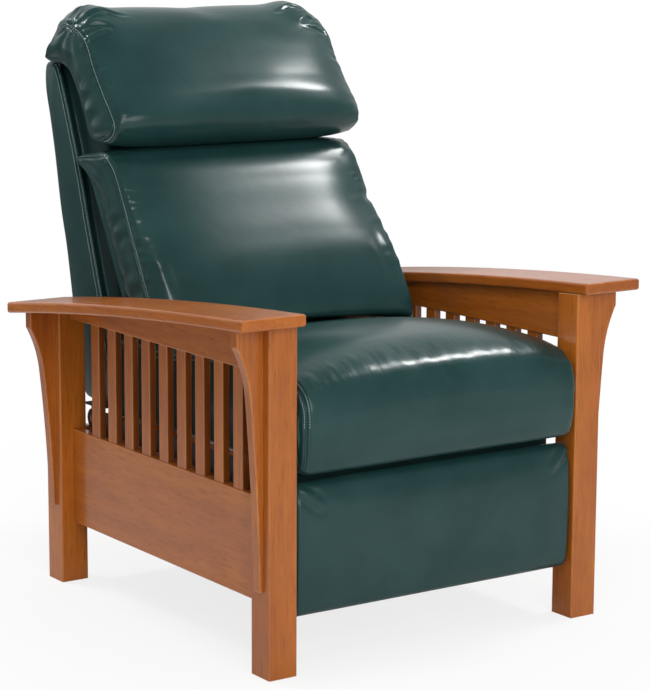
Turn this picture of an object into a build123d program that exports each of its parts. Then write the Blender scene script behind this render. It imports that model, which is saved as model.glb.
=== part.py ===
from build123d import *
import math
import os

# Mission reclining armchair, in millimetres: a slatted hardwood frame around an upholstered seat,
# back and footrest, which move on flat steel links.
# X points to the sitter's left, Y to the rear and Z up from the floor.
# Places along Y are counted from the front faces of the front posts. The finished pieces are then
# moved so that the origin is on the floor at the middle of the overall depth.

# Posts
POST_SIZE = 57.0
POST_OUTER_X = 362.0
POST_EASE = 3.0
FRAME_LENGTH = 793.0

# Armrests: boards that slope down to the rear and are slightly bowed
ARM_WIDTH = 128.0
ARM_THICKNESS = 21.0
ARM_OUTER_X = 431.0
ARM_FRONT_OVERHANG = 25.0
ARM_REAR_OVERHANG = 24.0
ARM_FRONT_HEIGHT = 630.0
ARM_REAR_HEIGHT = 548.0
ARM_BOW = 9.0
ARM_EASE = 5.0

# Sides: a wide board below, slats, and an apron under the arm
PANEL_OUTER_X = 335.0
PANEL_THICKNESS = 19.0
PANEL_BOTTOM = 118.0
PANEL_TOP = 303.0
APRON_DROP = 30.0
BOARD_EASE = 1.5
SLAT_COUNT = 9
SLAT_WIDTH = 30.0
SLAT_GAP = 33.0
SLAT_THICKNESS = 14.0
SLAT_SETBACK = 2.5

# Corbels: long brackets on the outer faces of the posts
CORBEL_THICKNESS = 20.0
CORBEL_TOP_REACH = 51.0
CORBEL_LIP = 30.0
CORBEL_NECK_REACH = 24.0
CORBEL_NECK_DROP = 120.0
CORBEL_NECK_HOLLOW = 5.0
CORBEL_FOOT_REACH = 6.5
CORBEL_FOOT_HEIGHT = 152.0
CORBEL_TAPER_HOLLOW = 2.7
CORBEL_EASE = 2.0

# Steel base: rails screwed to the side panels, joined by two tubes
RAIL_STEEL = 3.0
RAIL_BOTTOM = 148.0
RAIL_HEIGHT = 45.0
RAIL_FLANGE = 13.0
RAIL_END_GAP = 3.0
TUBE_RADIUS = 11.0
TUBE_WALL = 1.5
TUBE_HEIGHT = 165.0
FRONT_TUBE_Y = 340.0
REAR_TUBE_Y = 700.0
SCREW_RADIUS = 3.0
SCREW_LENGTH = 14.0
SCREW_HEAD_RADIUS = 6.5
SCREW_HEAD_HEIGHT = 2.2
SCREW_SHARES = (0.1, 0.55, 0.8)

# Flat links and their pins
LINK_STEEL = 3.0
LINK_HALF_WIDTH = 11.0
LAYER_GAP = 3.0
SWING_GAP = 4.0
PIN_RADIUS = 4.0
PIN_CLEARANCE = 0.05
PIN_HEAD_RADIUS = 7.0
PIN_HEAD_HEIGHT = 1.4
SIDE_CLEARANCE = 0.3

# Carriage: four equal swing links that keep the seat level
SWING_LENGTH = 90.0
SWING_LEAN = 20.0
FRONT_SWING_Y = 395.0
REAR_SWING_Y = 640.0
SWING_HEIGHT = 172.0

# Seat frame
SEAT_PIVOT_HEIGHT = 323.0
SEAT_PLATE_HALF_HEIGHT = 20.0
SEAT_PLATE_FRONT_Y = 108.0
SEAT_EAR_HALF_WIDTH = 14.0
BACK_PIVOT_Y = 715.0
SEAT_RAIL_DEPTH = 22.0
SEAT_RAIL_HEIGHT = 25.0
SEAT_RAIL_FRONT_Y = 75.0
SEAT_RAIL_REAR_Y = 640.0
STRAP_COUNT = 7
STRAP_WIDTH = 48.0
STRAP_THICKNESS = 2.0
STRAP_PITCH = 76.0

# Footrest linkage: two parallelograms in a row on each side
CRANK_PIVOT_Y = 134.0
CRANK_DROOP = 54.0
CRANK_LENGTH = 202.0
PIVOT_SPACING = 46.0
LIFT_LENGTH = 218.0
LIFT_RISE = 37.4

# Footrest
FOOTREST_HALF_WIDTH = 297.0
FOOTREST_BOTTOM = 102.0
FOOTREST_TOP = 334.0
FOOTREST_PAD_DEPTH = 34.0
FOOTREST_BELLY = 5.0
FOOTREST_ROLL = 16.0
FOOTREST_END_TUCK = 9.0
FOOTREST_CORNER_TUCK = 2.0
BOARD_MARGIN = 14.0
BOARD_THICKNESS = 12.0
BRACKET_FLANGE = 40.0
BRACKET_HEIGHT = 66.0

# Seat cushion, by cross-section from the middle to the side
SEAT_HALF_WIDTH = 295.0
SEAT_NOSE_Y = -18.0
SEAT_FRONT_TOP = 545.0
SEAT_LOWER_ROLL = 20.0
SEAT_UPPER_ROLL = 42.0
SEAT_BELLY = 6.0
SEAT_CROWN = 17.0
SEAT_BREAK_Y = 450.0
SEAT_BREAK_HEIGHT = 524.0
SEAT_REAR_Y = 684.0
SEAT_REAR_HEIGHT = 478.0
SEAT_NOSE_TUCK = 26.0
SEAT_TOP_DROP = 38.0
SEAT_REAR_DROP = 10.0

# Back shell
SHELL_HALF_WIDTH = 270.0
SHELL_LEAN = 12.3
SHELL_THICKNESS = 120.0
SHELL_TOP = 998.0
SHELL_REAR_TOP_Y = 953.0
SHELL_FOOT = 348.0
SHELL_FOOT_CHAMFER = 38.0
SHELL_SIDE_TUCK = 14.0
HINGE_FLANGE = 95.0
HINGE_FLANGE_DEPTH = 70.0
HINGE_EAR_HALF_WIDTH = 15.0

# Lumbar cushion
LUMBAR_HALF_WIDTH = 279.0
LUMBAR_TIP_Y = 513.0
LUMBAR_SEAM_BREAK_Y = 538.0
LUMBAR_SEAM_BREAK_HEIGHT = 590.0
LUMBAR_TOP_Y = 684.0
LUMBAR_TOP = 832.0
LUMBAR_BOXING = 94.0
LUMBAR_BULGE = 52.0
LUMBAR_TIP_BULGE = 46.0
CUSHION_GAP = 0.3
LAP_GAP = 0.8

# Head pillow
PILLOW_HALF_WIDTH = 278.0
PILLOW_TIP_Y = 648.0
PILLOW_TIP_HEIGHT = 884.0
PILLOW_SHOULDER_Y = 763.0
PILLOW_SHOULDER_HEIGHT = 1044.0
PILLOW_CROWN_Y = 842.0
PILLOW_CROWN_HEIGHT = 1104.0
PILLOW_REAR_Y = 930.0
PILLOW_LIFT = 21.0
PILLOW_SIDE_CROWN_HEIGHT = 1066.0
PILLOW_SIDE_DEPTH = 100.0
PILLOW_BULGE = 38.0
PILLOW_TIP_BULGE = 12.0

# Shares of a cushion's half-width at which its cross-sections stand, from the middle outwards.
# The fullness of a cross-section falls from 1 in the middle to 0 at the side, as the quarter of a
# superellipse does.
STATION_SHARES = (0.0, 0.35, 0.62, 0.82, 0.94, 1.0)
FULLNESS_POWER = 2.6

OVERRUN = 50.0
QUARTER_TURN = 90
HALF_TURN = 2 * QUARTER_TURN
ROUND_SHARE = 1 - math.sqrt(0.5)

post_inner_x = POST_OUTER_X - POST_SIZE
rear_post_y = FRAME_LENGTH - POST_SIZE
arm_front_y = -ARM_FRONT_OVERHANG
arm_rear_y = FRAME_LENGTH + ARM_REAR_OVERHANG
panel_inner_x = PANEL_OUTER_X - PANEL_THICKNESS
apron_bottom = ARM_REAR_HEIGHT - APRON_DROP
pillow_foot_height = LUMBAR_TOP + PILLOW_LIFT
depth_middle = (arm_front_y + SHELL_REAR_TOP_Y) / 2

# Inner faces of the flat steel layers, from the side panel inwards
rail_x = panel_inner_x - RAIL_STEEL
swing_x = rail_x - LAYER_GAP - SWING_GAP
plate_x = swing_x - LAYER_GAP - LINK_STEEL
crank_x = plate_x - LAYER_GAP - LINK_STEEL
lift_x = crank_x - LAYER_GAP - LINK_STEEL
bracket_x = lift_x - LAYER_GAP - LINK_STEEL
guide_x = bracket_x - LAYER_GAP - LINK_STEEL


def along(start, length, degrees):
    """The (y, z) place at a length from start, degrees up from the direction to the rear."""
    angle = math.radians(degrees)
    return (start[0] + length * math.cos(angle), start[1] + length * math.sin(angle))


front_swing = (FRONT_SWING_Y, SWING_HEIGHT)
rear_swing = (REAR_SWING_Y, SWING_HEIGHT)
front_seat_pivot = along(front_swing, SWING_LENGTH, QUARTER_TURN - SWING_LEAN)
rear_seat_pivot = along(rear_swing, SWING_LENGTH, QUARTER_TURN - SWING_LEAN)
crank_pivot = (CRANK_PIVOT_Y, SEAT_PIVOT_HEIGHT)
idler_pivot = (CRANK_PIVOT_Y + PIVOT_SPACING, SEAT_PIVOT_HEIGHT)
back_pivot = (BACK_PIVOT_Y, SEAT_PIVOT_HEIGHT)
crank_knee = along(crank_pivot, CRANK_LENGTH, -CRANK_DROOP)
crank_tip = along(crank_knee, PIVOT_SPACING, -CRANK_DROOP)
idler_tip = (crank_knee[0] + PIVOT_SPACING, crank_knee[1])
lift_tip = along(crank_knee, LIFT_LENGTH, HALF_TURN - LIFT_RISE)
guide_tip = along(lift_tip, PIVOT_SPACING, -CRANK_DROOP)


def block(x0, x1, y0, y1, z0, z1):
    """A box between two opposite corners."""
    middle = Pos((x0 + x1) / 2, (y0 + y1) / 2, (z0 + z1) / 2)
    return middle * Box(abs(x1 - x0), abs(y1 - y0), abs(z1 - z0))


def rod(place, x0, x1, radius):
    """A cylinder along X about a (y, z) place."""
    return Pos((x0 + x1) / 2, *place) * Rot(0, QUARTER_TURN, 0) * Cylinder(radius, x1 - x0)


def side(x, start, end, bulge):
    """One edge of an outline at X, bowed by bulge to the left of its travel seen from -X."""
    if bulge == 0:
        return Line((x, *start), (x, *end))
    run_y = end[0] - start[0]
    run_z = end[1] - start[1]
    length = math.hypot(run_y, run_z)
    middle_y = (start[0] + end[0]) / 2 - bulge * run_z / length
    middle_z = (start[1] + end[1]) / 2 + bulge * run_y / length
    return ThreePointArc((x, *start), (x, middle_y, middle_z), (x, *end))


def outline(x, corners, bulges):
    """A closed wire at X through (y, z) corners, listed up the front and back along the bottom."""
    ends = corners[1:] + corners[:1]
    return Wire([side(x, a, b, bulge).edge() for a, b, bulge in zip(corners, ends, bulges)])


def soft_form(half_width, section):
    """A cushion lofted across the chair through section(fullness), alike on both sides."""
    places = [-share for share in reversed(STATION_SHARES[1:])] + list(STATION_SHARES)
    wires = []
    for place in places:
        fullness = (1 - abs(place) ** FULLNESS_POWER) ** (1 / FULLNESS_POWER)
        wires.append(outline(place * half_width, *section(fullness)))
    return Solid.make_loft(wires, ruled=True)


def plate(x, pivots, half_width):
    """A flat link around its pivots, from X outwards, with its pin holes."""
    ends = Sketch() + [Pos(*pivot) * Circle(half_width) for pivot in pivots]
    shape = make_hull(ends.edges())
    return extrude(Plane.YZ.offset(x) * shape, LINK_STEEL)


def drill(shape, pivots):
    """Clearance holes along X for pivot pins."""
    reach = POST_OUTER_X
    for pivot in pivots:
        shape = shape - rod(pivot, 0, reach, PIN_RADIUS + PIN_CLEARANCE)
    return shape


def pin(place, inner_x, outer_x, head_out=True):
    """A pivot pin through two plates whose inner faces are at inner_x and outer_x."""
    gap_start = inner_x + LINK_STEEL + SIDE_CLEARANCE
    gap_end = outer_x - SIDE_CLEARANCE
    head_x = inner_x - SIDE_CLEARANCE - PIN_HEAD_HEIGHT
    end_x = outer_x + LINK_STEEL
    shape = rod(place, head_x, head_x + PIN_HEAD_HEIGHT, PIN_HEAD_RADIUS)
    shape = shape + rod(place, gap_start, gap_end, PIN_HEAD_RADIUS)
    if head_out:
        end_x = end_x + SIDE_CLEARANCE + PIN_HEAD_HEIGHT
        shape = shape + rod(place, end_x - PIN_HEAD_HEIGHT, end_x, PIN_HEAD_RADIUS)
    return shape + rod(place, head_x, end_x, PIN_RADIUS)


def mirrored(shape):
    """The same piece on the sitter's right."""
    return mirror(shape, about=Plane.YZ)


def both(*shapes):
    """Pieces of the left side together with those of the right."""
    return list(shapes) + [mirrored(shape) for shape in shapes]


def eased_box(x0, x1, y0, y1, z0, z1, ease, axis):
    """A board whose edges along one axis are rounded."""
    shape = block(x0, x1, y0, y1, z0, z1)
    return fillet(shape.edges().filter_by(axis), ease)


def arm_line(drop):
    """The bowed line of an arm's top, lowered by drop."""
    start = (arm_front_y, ARM_FRONT_HEIGHT - drop)
    end = (arm_rear_y, ARM_REAR_HEIGHT - drop)
    return side(0, start, end, ARM_BOW), start, end


def arm_left():
    """An armrest board with rounded edges."""
    top, front_top, rear_top = arm_line(0)
    bottom, front_bottom, rear_bottom = arm_line(ARM_THICKNESS)
    front = Line((0, *front_bottom), (0, *front_top))
    rear = Line((0, *rear_bottom), (0, *rear_top))
    profile = make_face([front.edge(), top.edge(), rear.edge(), bottom.edge()])
    board = extrude(profile, ARM_WIDTH, dir=(1, 0, 0))
    board = Pos(ARM_OUTER_X - ARM_WIDTH, 0, 0) * board
    return fillet(board.edges(), ARM_EASE)


def under_arm():
    """The space below an arm, whose top is the arm's underside."""
    bottom, front, rear = arm_line(ARM_THICKNESS)
    floor_front = (front[0], -OVERRUN)
    floor_rear = (rear[0], -OVERRUN)
    walls = [
        bottom.edge(),
        Line((0, *rear), (0, *floor_rear)).edge(),
        Line((0, *floor_rear), (0, *floor_front)).edge(),
        Line((0, *floor_front), (0, *front)).edge(),
    ]
    return extrude(make_face(walls), ARM_OUTER_X + OVERRUN, dir=(1, 0, 0))


def post(front_y, below_arm):
    """A square post whose top meets the underside of the arm."""
    shape = eased_box(post_inner_x, POST_OUTER_X, front_y, front_y + POST_SIZE,
                      0, ARM_FRONT_HEIGHT, POST_EASE, Axis.Z)
    return shape & below_arm


def underside_height(y):
    """Height of the arm's underside at a place along Y."""
    run = arm_rear_y - arm_front_y
    share = (y - arm_front_y) / run
    chord = ARM_FRONT_HEIGHT + share * (ARM_REAR_HEIGHT - ARM_FRONT_HEIGHT)
    return chord + 4 * ARM_BOW * share * (1 - share) - ARM_THICKNESS


def corbel(post_front_y, below_arm):
    """A long bracket that hollows in below the arm and tapers down the post."""
    middle_y = post_front_y + POST_SIZE / 2
    top = underside_height(middle_y)
    lip = (POST_OUTER_X + CORBEL_TOP_REACH, top - CORBEL_LIP)
    neck = (POST_OUTER_X + CORBEL_NECK_REACH, top - CORBEL_NECK_DROP)
    foot = (POST_OUTER_X + CORBEL_FOOT_REACH, CORBEL_FOOT_HEIGHT)
    head = (POST_OUTER_X + CORBEL_TOP_REACH, ARM_FRONT_HEIGHT)
    back_top = (POST_OUTER_X, ARM_FRONT_HEIGHT)
    back_foot = (POST_OUTER_X, CORBEL_FOOT_HEIGHT)
    points = [back_foot, back_top, head, lip, neck, foot]
    bows = [0, 0, 0, -CORBEL_NECK_HOLLOW, -CORBEL_TAPER_HOLLOW, 0]
    edges = []
    for start, end, bow in zip(points, points[1:] + points[:1], bows):
        middle_x = (start[0] + end[0]) / 2
        middle_z = (start[1] + end[1]) / 2
        first = (start[0], middle_y, start[1])
        last = (end[0], middle_y, end[1])
        if bow == 0:
            edges.append(Line(first, last).edge())
        else:
            edges.append(ThreePointArc(first, (middle_x + bow, middle_y, middle_z), last).edge())
    shape = extrude(make_face(edges), CORBEL_THICKNESS / 2, both=True, dir=(0, 1, 0))
    outer = shape.edges().filter_by(lambda edge: edge.center().X > POST_OUTER_X + CORBEL_EASE)
    outer = outer.filter_by(lambda edge: abs(edge.center().Y - middle_y) > CORBEL_THICKNESS / 4)
    outer = outer.filter_by(lambda edge: CORBEL_FOOT_HEIGHT < edge.center().Z < ARM_FRONT_HEIGHT)
    return fillet(outer, CORBEL_EASE) & below_arm


def side_panel():
    """The wide lower board, drilled for the screws of the base rail."""
    shape = eased_box(panel_inner_x, PANEL_OUTER_X, POST_SIZE, rear_post_y,
                      PANEL_BOTTOM, PANEL_TOP, BOARD_EASE, Axis.Y)
    for place in screw_places():
        shape = shape - rod(place, panel_inner_x, panel_inner_x + screw_depth(), SCREW_RADIUS)
    return shape


def apron(below_arm):
    """The board between the posts under the arm."""
    shape = eased_box(panel_inner_x, PANEL_OUTER_X, POST_SIZE, rear_post_y,
                      apron_bottom, ARM_FRONT_HEIGHT, BOARD_EASE, Axis.Y)
    return shape & below_arm


def slats():
    """Upright slats from the panel to the apron, evenly spaced between the posts."""
    pitch = SLAT_WIDTH + SLAT_GAP
    middle_y = FRAME_LENGTH / 2
    outer_x = PANEL_OUTER_X - SLAT_SETBACK
    shapes = []
    for number in range(SLAT_COUNT):
        start = middle_y + (number - (SLAT_COUNT - 1) / 2) * pitch - SLAT_WIDTH / 2
        shapes.append(eased_box(outer_x - SLAT_THICKNESS, outer_x, start, start + SLAT_WIDTH,
                                PANEL_TOP, apron_bottom, BOARD_EASE, Axis.Z))
    return shapes


def rear_rail():
    """The board between the rear posts, set in line with the side panels."""
    setback = POST_OUTER_X - PANEL_OUTER_X
    rear_y = FRAME_LENGTH - setback
    return eased_box(-post_inner_x, post_inner_x, rear_y - PANEL_THICKNESS, rear_y,
                     PANEL_BOTTOM, PANEL_TOP, BOARD_EASE, Axis.X)


def screw_depth():
    """How far a rail screw goes into the side panel."""
    return SCREW_LENGTH - RAIL_STEEL


def screw_places():
    """Places of the rail screws as (y, z)."""
    start = POST_SIZE + RAIL_END_GAP
    length = rear_post_y - POST_SIZE - 2 * RAIL_END_GAP
    return [(start + share * length, SWING_HEIGHT) for share in SCREW_SHARES]


def base_rail():
    """A steel angle on the inside of a side panel, with holes for its pins and screws."""
    start = POST_SIZE + RAIL_END_GAP
    end = rear_post_y - RAIL_END_GAP
    web = block(rail_x, panel_inner_x, start, end, RAIL_BOTTOM, RAIL_BOTTOM + RAIL_HEIGHT)
    flange = block(panel_inner_x - RAIL_FLANGE, panel_inner_x, start, end,
                   RAIL_BOTTOM, RAIL_BOTTOM + RAIL_STEEL)
    shape = drill(web + flange, [front_swing, rear_swing])
    for place in screw_places():
        shape = shape - rod(place, rail_x, panel_inner_x, SCREW_RADIUS)
    return shape


def cross_tube(y):
    """A tube between the two base rails."""
    place = (y, TUBE_HEIGHT)
    return rod(place, -rail_x, rail_x, TUBE_RADIUS) - rod(place, -rail_x, rail_x,
                                                          TUBE_RADIUS - TUBE_WALL)


def rail_screw(place):
    """A round-head screw through the base rail into the side panel."""
    head = rod(place, rail_x - SCREW_HEAD_HEIGHT, rail_x, SCREW_HEAD_RADIUS)
    shank = rod(place, rail_x - SCREW_HEAD_HEIGHT, rail_x + SCREW_LENGTH, SCREW_RADIUS)
    return head + shank


def swing_link(base_pivot, seat_pivot):
    """One link of the carriage."""
    return drill(plate(swing_x, [base_pivot, seat_pivot], LINK_HALF_WIDTH),
                 [base_pivot, seat_pivot])


def seat_plate():
    """The steel side of the seat, with an ear down to each carriage pivot."""
    front = (SEAT_PLATE_FRONT_Y, SEAT_PIVOT_HEIGHT)
    shape = plate(plate_x, [front, back_pivot], SEAT_PLATE_HALF_HEIGHT)
    for pivot in (front_seat_pivot, rear_seat_pivot):
        shape = shape + plate(plate_x, [pivot, (pivot[0], SEAT_PIVOT_HEIGHT)], SEAT_EAR_HALF_WIDTH)
    return drill(shape, [front_seat_pivot, rear_seat_pivot, crank_pivot, idler_pivot, back_pivot])


def seat_rail(front_y):
    """A wooden rail between the seat plates."""
    top = SEAT_PIVOT_HEIGHT + SEAT_PLATE_HALF_HEIGHT
    return block(-plate_x, plate_x, front_y, front_y + SEAT_RAIL_DEPTH, top - SEAT_RAIL_HEIGHT, top)


def seat_straps():
    """Webbing straps from the front rail to the rear rail."""
    bottom = SEAT_PIVOT_HEIGHT + SEAT_PLATE_HALF_HEIGHT
    rear_y = SEAT_RAIL_REAR_Y + SEAT_RAIL_DEPTH
    shapes = []
    for number in range(STRAP_COUNT):
        middle_x = (number - (STRAP_COUNT - 1) / 2) * STRAP_PITCH
        shapes.append(block(middle_x - STRAP_WIDTH / 2, middle_x + STRAP_WIDTH / 2,
                            SEAT_RAIL_FRONT_Y, rear_y, bottom, bottom + STRAP_THICKNESS))
    return shapes


seat_base = SEAT_PIVOT_HEIGHT + SEAT_PLATE_HALF_HEIGHT + STRAP_THICKNESS


def seat_section(fullness):
    """Seat cushion: flat base, rolled front, crowned top, and a ramp under the lumbar cushion."""
    tuck = (1 - fullness) * SEAT_NOSE_TUCK
    drop = (1 - fullness) * SEAT_TOP_DROP
    nose = SEAT_NOSE_Y + tuck
    top = SEAT_FRONT_TOP - drop
    corners = [
        (nose + SEAT_LOWER_ROLL, seat_base),
        (nose, seat_base + SEAT_LOWER_ROLL),
        (nose, top - SEAT_UPPER_ROLL),
        (nose + SEAT_UPPER_ROLL, top),
        (SEAT_BREAK_Y, SEAT_BREAK_HEIGHT - drop),
        (SEAT_REAR_Y, SEAT_REAR_HEIGHT - (1 - fullness) * SEAT_REAR_DROP),
        (SEAT_REAR_Y, seat_base),
    ]
    lower_round = ROUND_SHARE * SEAT_LOWER_ROLL
    upper_round = ROUND_SHARE * SEAT_UPPER_ROLL
    return corners, [lower_round, SEAT_BELLY, upper_round, SEAT_CROWN, 0, 0, 0]


def ramp_height(y, fullness):
    """Top of the seat cushion behind its break, for a cross-section with that fullness of bulge."""
    start = SEAT_BREAK_HEIGHT - (1 - fullness) * SEAT_TOP_DROP
    end = SEAT_REAR_HEIGHT - (1 - fullness) * SEAT_REAR_DROP
    return start + (end - start) * (y - SEAT_BREAK_Y) / (SEAT_REAR_Y - SEAT_BREAK_Y)


def shell_front_y(z):
    """The leaning front plane of the back shell."""
    lean = math.tan(math.radians(SHELL_LEAN))
    return SHELL_REAR_TOP_Y - SHELL_THICKNESS - (SHELL_TOP - z) * lean


def shell_section(fullness):
    """Back shell: an upright slab, its rear face drawn in at the sides."""
    tuck = (1 - fullness) * SHELL_SIDE_TUCK
    rear_foot_y = shell_front_y(SHELL_FOOT) + SHELL_THICKNESS - SHELL_FOOT_CHAMFER
    chamfer_top = SHELL_FOOT + SHELL_FOOT_CHAMFER
    corners = [
        (shell_front_y(SHELL_FOOT), SHELL_FOOT),
        (shell_front_y(SHELL_TOP), SHELL_TOP),
        (SHELL_REAR_TOP_Y - tuck, SHELL_TOP),
        (shell_front_y(chamfer_top) + SHELL_THICKNESS - tuck, chamfer_top),
        (rear_foot_y - tuck, SHELL_FOOT),
    ]
    return corners, [0, 0, 0, 0, 0]


def hinge_bracket():
    """An angle from the back hinge to the foot of the back shell."""
    flange_y = shell_front_y(SHELL_FOOT)
    flange_top = SHELL_FOOT
    flange_bottom = flange_top - LINK_STEEL
    ear = plate(crank_x, [back_pivot], HINGE_EAR_HALF_WIDTH)
    web = block(crank_x, crank_x + LINK_STEEL, BACK_PIVOT_Y - HINGE_EAR_HALF_WIDTH,
                BACK_PIVOT_Y + HINGE_EAR_HALF_WIDTH, SEAT_PIVOT_HEIGHT, flange_top)
    flange = block(crank_x + LINK_STEEL - HINGE_FLANGE, crank_x + LINK_STEEL, flange_y,
                   flange_y + HINGE_FLANGE_DEPTH, flange_bottom, flange_top)
    return drill(ear + web + flange, [back_pivot])


def lumbar_section(fullness):
    """Lumbar cushion: full belly in the middle, a narrow boxing at the sides."""
    belly = fullness * LUMBAR_BULGE
    tip_y = LUMBAR_TIP_Y - fullness * LUMBAR_TIP_BULGE
    seam_y = LUMBAR_SEAM_BREAK_Y - belly
    top_y = LUMBAR_TOP_Y - fullness * LUMBAR_BULGE / 2
    foot_y = SEAT_REAR_Y
    foot_z = ramp_height(foot_y, fullness) + LAP_GAP
    full = 1 if fullness > 0 else 0
    rear_top_y = shell_front_y(LUMBAR_TOP) - CUSHION_GAP
    rear_foot_y = shell_front_y(foot_z) - CUSHION_GAP
    boxing_top_y = min(LUMBAR_TOP_Y + LUMBAR_BOXING, rear_top_y)
    boxing_foot_y = LUMBAR_TIP_Y + LUMBAR_BOXING
    rear_top = rear_top_y if full else boxing_top_y
    rear_foot = min(rear_foot_y, foot_y) if full else boxing_foot_y
    rear_foot_z = ramp_height(rear_foot, fullness) + LAP_GAP
    corners = [
        (tip_y, ramp_height(tip_y, fullness) + LAP_GAP),
        (seam_y, LUMBAR_SEAM_BREAK_HEIGHT),
        (top_y, LUMBAR_TOP),
        (rear_top, LUMBAR_TOP),
        (rear_foot, rear_foot_z),
    ]
    tip_bow = fullness * LUMBAR_TIP_BULGE / 4
    return corners, [tip_bow, belly / 3, belly / 4, 0, 0]


def pillow_section(fullness):
    """Head pillow: a belly in front, a crown above, and a flap behind the top of the shell."""
    belly = fullness * PILLOW_BULGE
    full = fullness > 0
    crown_height = PILLOW_SIDE_CROWN_HEIGHT
    crown_height = crown_height + fullness * (PILLOW_CROWN_HEIGHT - PILLOW_SIDE_CROWN_HEIGHT)
    lap_z = SHELL_TOP + CUSHION_GAP
    foot_front = shell_front_y(pillow_foot_height) - CUSHION_GAP
    seat_front = shell_front_y(lap_z) - CUSHION_GAP
    corners = [
        (PILLOW_TIP_Y - fullness * PILLOW_TIP_BULGE, PILLOW_TIP_HEIGHT),
        (PILLOW_SHOULDER_Y - belly / 2, PILLOW_SHOULDER_HEIGHT),
        (PILLOW_CROWN_Y, crown_height),
        (PILLOW_REAR_Y - (1 - fullness) * PILLOW_SIDE_DEPTH / 2, lap_z),
        (seat_front, lap_z),
        (foot_front if full else PILLOW_TIP_Y + PILLOW_SIDE_DEPTH, pillow_foot_height),
    ]
    return corners, [belly / 2, belly / 3, belly / 2, 0, 0, 0]


def footrest_section(fullness):
    """Footrest pad: a soft front face with rolled edges over a flat back."""
    tuck = (1 - fullness) * FOOTREST_END_TUCK
    trim = (1 - fullness) * FOOTREST_CORNER_TUCK
    front = FOOTREST_BELLY + tuck
    low = FOOTREST_BOTTOM + trim
    high = FOOTREST_TOP - trim
    corners = [
        (front + FOOTREST_ROLL, low),
        (front, low + FOOTREST_ROLL),
        (front, high - FOOTREST_ROLL),
        (front + FOOTREST_ROLL, high),
        (FOOTREST_PAD_DEPTH, high),
        (FOOTREST_PAD_DEPTH, low),
    ]
    edge_round = ROUND_SHARE * FOOTREST_ROLL
    return corners, [edge_round, FOOTREST_BELLY, edge_round, 0, 0, 0]


def footrest_board():
    """The plywood behind the footrest pad."""
    half = FOOTREST_HALF_WIDTH - BOARD_MARGIN
    return block(-half, half, FOOTREST_PAD_DEPTH, FOOTREST_PAD_DEPTH + BOARD_THICKNESS,
                 FOOTREST_BOTTOM + BOARD_MARGIN, FOOTREST_TOP - BOARD_MARGIN)


def footrest_bracket():
    """An angle on the back of the board with the two outer pivots of the linkage."""
    board_rear = FOOTREST_PAD_DEPTH + BOARD_THICKNESS
    foot_z = guide_tip[1] - LINK_HALF_WIDTH
    flange = block(bracket_x + LINK_STEEL - BRACKET_FLANGE, bracket_x + LINK_STEEL, board_rear,
                   board_rear + LINK_STEEL, foot_z, foot_z + BRACKET_HEIGHT)
    root = [(board_rear + LINK_HALF_WIDTH, foot_z + LINK_HALF_WIDTH),
            (board_rear + LINK_HALF_WIDTH, lift_tip[1])]
    web = plate(bracket_x, [lift_tip, guide_tip] + root, LINK_HALF_WIDTH)
    return drill(web + flange, [lift_tip, guide_tip])


def save(name, *solids):
    """Write one piece, or one group of like pieces, in its place."""
    placed = [Pos(0, -depth_middle, 0) * solid for solid in solids]
    shape = placed[0] if len(placed) == 1 else Compound(placed)
    export_step(shape, f"parts/{name}.step")


def save_pair(name, shape):
    """Write a piece of the left side and its twin on the right."""
    save(f"{name}_left", shape)
    save(f"{name}_right", mirrored(shape))


os.makedirs("parts", exist_ok=True)

# Wooden frame
below_arm = under_arm()
save_pair("post_front", post(0, below_arm))
save_pair("post_rear", post(rear_post_y, below_arm))
save_pair("corbel_front", corbel(0, below_arm))
save_pair("corbel_rear", corbel(rear_post_y, below_arm))
save_pair("arm", arm_left())
save_pair("apron", apron(below_arm))
save_pair("side_panel", side_panel())
for number, slat in enumerate(slats(), start=1):
    save(f"slat_left_{number}", slat)
    save(f"slat_right_{number}", mirrored(slat))
save("rear_rail", rear_rail())

# Steel base
base_pins = [pin(place, swing_x, rail_x, head_out=False) for place in (front_swing, rear_swing)]
rail_screws = [rail_screw(place) for place in screw_places()]
save_pair("base_rail", base_rail())
save("base_cross_tubes", cross_tube(FRONT_TUBE_Y), cross_tube(REAR_TUBE_Y))
save("base_fasteners", *both(*base_pins, *rail_screws))
save("swing_links_front", *both(swing_link(front_swing, front_seat_pivot)))
save("swing_links_rear", *both(swing_link(rear_swing, rear_seat_pivot)))

# Seat
seat_pins = [pin(place, plate_x, swing_x) for place in (front_seat_pivot, rear_seat_pivot)]
seat_pins += [pin(place, crank_x, plate_x) for place in (crank_pivot, idler_pivot, back_pivot)]
save_pair("seat_plate", seat_plate())
save("seat_pins", *both(*seat_pins))
save("seat_rail_front", seat_rail(SEAT_RAIL_FRONT_Y))
save("seat_rail_rear", seat_rail(SEAT_RAIL_REAR_Y))
save("seat_webbing", *seat_straps())
seat_cushion = soft_form(SEAT_HALF_WIDTH, seat_section)
save("seat_cushion", seat_cushion)

# Back
shell = soft_form(SHELL_HALF_WIDTH, shell_section)
shell_clearance = [Pos(0, -CUSHION_GAP, 0) * shell, Pos(0, 0, CUSHION_GAP) * shell]
lumbar = soft_form(LUMBAR_HALF_WIDTH, lumbar_section)
lumbar = lumbar - shell_clearance[0] - Pos(0, 0, LAP_GAP) * seat_cushion
pillow = soft_form(PILLOW_HALF_WIDTH, pillow_section)
pillow = pillow - shell_clearance[0] - shell_clearance[1]
save("back_brackets", *both(hinge_bracket()))
save("back_shell", shell)
save("lumbar_cushion", lumbar)
save("head_pillow", pillow)

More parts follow.
